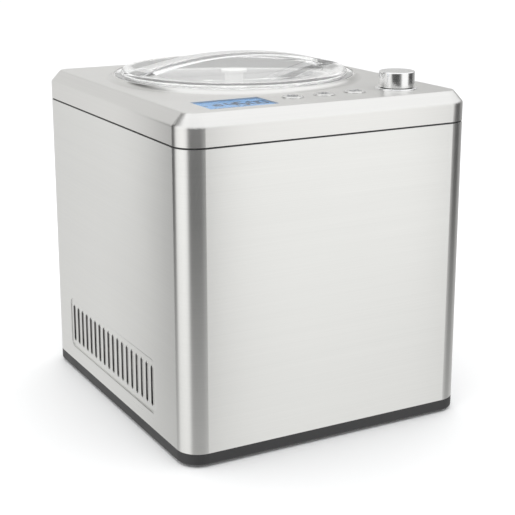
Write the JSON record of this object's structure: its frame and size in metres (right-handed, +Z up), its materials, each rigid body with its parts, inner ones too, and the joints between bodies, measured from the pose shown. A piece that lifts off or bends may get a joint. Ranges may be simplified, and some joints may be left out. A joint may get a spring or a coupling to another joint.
{
  "type": "ice cream maker",
  "caption": "Counter-top compressor ice cream maker: steel casing, side vents, clear bayonet lid with strap handle, removable bowl, driven paddle, display, keys and knob.",
  "frame": {"origin": "centre of the footprint, on the surface the machine stands on", "axes": "+Z up, -Y towards the front with the control panel, +X to the right seen from the front"},
  "size_m": [0.28, 0.314, 0.3201],
  "materials": {
    "brushed_steel": "fine horizontal brushing, satin",
    "deck_steel": "fine brushed satin",
    "black_base": "fine moulded grain, matte",
    "black_frame": "moulded, matte",
    "grey_panel": "fine moulded grain, matte",
    "rubber": "matte",
    "zinc_steel": "zinc plated",
    "chrome": "polished",
    "button_steel": "turned satin",
    "clear_plastic": "clear, polished",
    "display_glass": "clear cover",
    "display_blue": "backlit",
    "white_plastic": "smooth",
    "silicone": "soft satin",
    "bowl_aluminium": "anodised satin",
    "copper": "drawn tube",
    "foam": "closed-cell foam",
    "compressor_black": "semi-gloss paint",
    "gear_plastic": "acetal",
    "bronze": "sintered",
    "board_green": "solder mask",
    "lamination": "stacked sheet"
  },
  "bodies": {
    "root": {"base_tray": "black_base", "rubber_feet": "rubber", "steel_casing": "brushed_steel", "rear_panel": "grey_panel", "case_screws": "zinc_steel", "corner_posts": "zinc_steel", "upper_frame": "black_frame", "top_cover": "deck_steel", "lid_seat": "white_plastic", "chiller_well": "bowl_aluminium", "evaporator_coil": "copper", "foam_insulation": "foam", "gearbox_housing": "grey_panel", "gearbox_cover": "grey_panel", "shaft_bushes": "bronze", "shaft_seal": "rubber", "idler_axle": "zinc_steel", "motor_can": "zinc_steel", "motor_stator": "lamination", "gearbox_bracket": "zinc_steel", "compressor_shell": "compressor_black", "compressor_mounts": "rubber", "compressor_bolts": "zinc_steel", "compressor_relay": "black_frame", "condenser_fins": "bowl_aluminium", "condenser_tubes": "copper", "condenser_frame": "zinc_steel", "fan_frame": "black_frame", "fan_motor": "black_frame", "filter_drier": "copper", "high_side_lines": "copper", "capillary_tube": "copper", "suction_line": "copper", "power_inlet": "black_frame", "inlet_pins": "bronze", "power_board": "board_green", "board_standoffs": "zinc_steel", "power_components": "lamination", "run_capacitor": "bowl_aluminium", "lcd_window": "display_glass", "lcd_module": "display_blue", "control_board": "board_green", "button_switches": "black_frame", "knob_ring": "chrome", "rotary_encoder": "zinc_steel"},
    "lid_seal": {"lid_seal": "silicone"},
    "lid": {"lid_shell": "clear_plastic"},
    "bowl": {"mixing_bowl": "bowl_aluminium"},
    "paddle": {"mixing_paddle": "white_plastic"},
    "drive": {"drive_shaft": "zinc_steel", "output_gear": "gear_plastic"},
    "idler": {"idler_gear": "gear_plastic"},
    "rotor": {"motor_rotor": "lamination", "motor_pinion": "bronze"},
    "fan": {"fan_impeller": "black_frame"},
    "knob": {"selector_knob": "chrome", "encoder_shaft": "zinc_steel"},
    "timer_key": {"timer_button": "button_steel"},
    "mode_key": {"mode_button": "button_steel"},
    "start_key": {"start_button": "button_steel"}
  },
  "joints": [
    {"name": "bowl_lift", "type": "slide", "parent": "root", "child": "bowl", "axis": [0, 0, 1], "range_m": [0, 0.13]},
    {"name": "lid_lift", "type": "slide", "parent": "bowl", "child": "lid_seal", "axis": [0, 0, 1], "range_m": [0, 0.06]},
    {"name": "lid_turn", "type": "hinge", "parent": "lid_seal", "child": "lid", "pos_m": [0, 0.0246, 0.3], "axis": [0, 0, 1], "range_deg": [-24, 0]},
    {"name": "paddle_spin", "type": "hinge", "parent": "bowl", "child": "paddle", "pos_m": [0, 0.0246, 0.24], "axis": [0, 0, 1], "continuous": true},
    {"name": "motor_spin", "type": "hinge", "parent": "root", "child": "rotor", "pos_m": [0, -0.0579, 0.1], "axis": [0, 0, 1], "continuous": true},
    {"name": "idler_spin", "type": "hinge", "parent": "root", "child": "idler", "pos_m": [0, -0.0204, 0.135], "axis": [0, 0, 1], "continuous": true},
    {"name": "drive_spin", "type": "hinge", "parent": "root", "child": "drive", "pos_m": [0, 0.0246, 0.14], "axis": [0, 0, 1], "continuous": true},
    {"name": "fan_spin", "type": "hinge", "parent": "root", "child": "fan", "pos_m": [-0.09, 0.008, 0.076], "axis": [1, 0, 0], "continuous": true},
    {"name": "knob_turn", "type": "hinge", "parent": "root", "child": "knob", "pos_m": [0.09, -0.113, 0.2981], "axis": [0, 0, 1], "continuous": true},
    {"name": "timer_press", "type": "slide", "parent": "root", "child": "timer_key", "axis": [0, 0, -1], "range_m": [0, 0.0008], "stiffness_N_per_m": 400, "springref_m": -0.001},
    {"name": "mode_press", "type": "slide", "parent": "root", "child": "mode_key", "axis": [0, 0, -1], "range_m": [0, 0.0008], "stiffness_N_per_m": 400, "springref_m": -0.001},
    {"name": "start_press", "type": "slide", "parent": "root", "child": "start_key", "axis": [0, 0, -1], "range_m": [0, 0.0008], "stiffness_N_per_m": 400, "springref_m": -0.001}
  ],
  "couplings": [
    {"joint": "idler_spin", "follows": "motor_spin", "ratio": -0.25},
    {"joint": "drive_spin", "follows": "motor_spin", "ratio": 0.05},
    {"joint": "paddle_spin", "follows": "motor_spin", "ratio": 0.05}
  ]
}
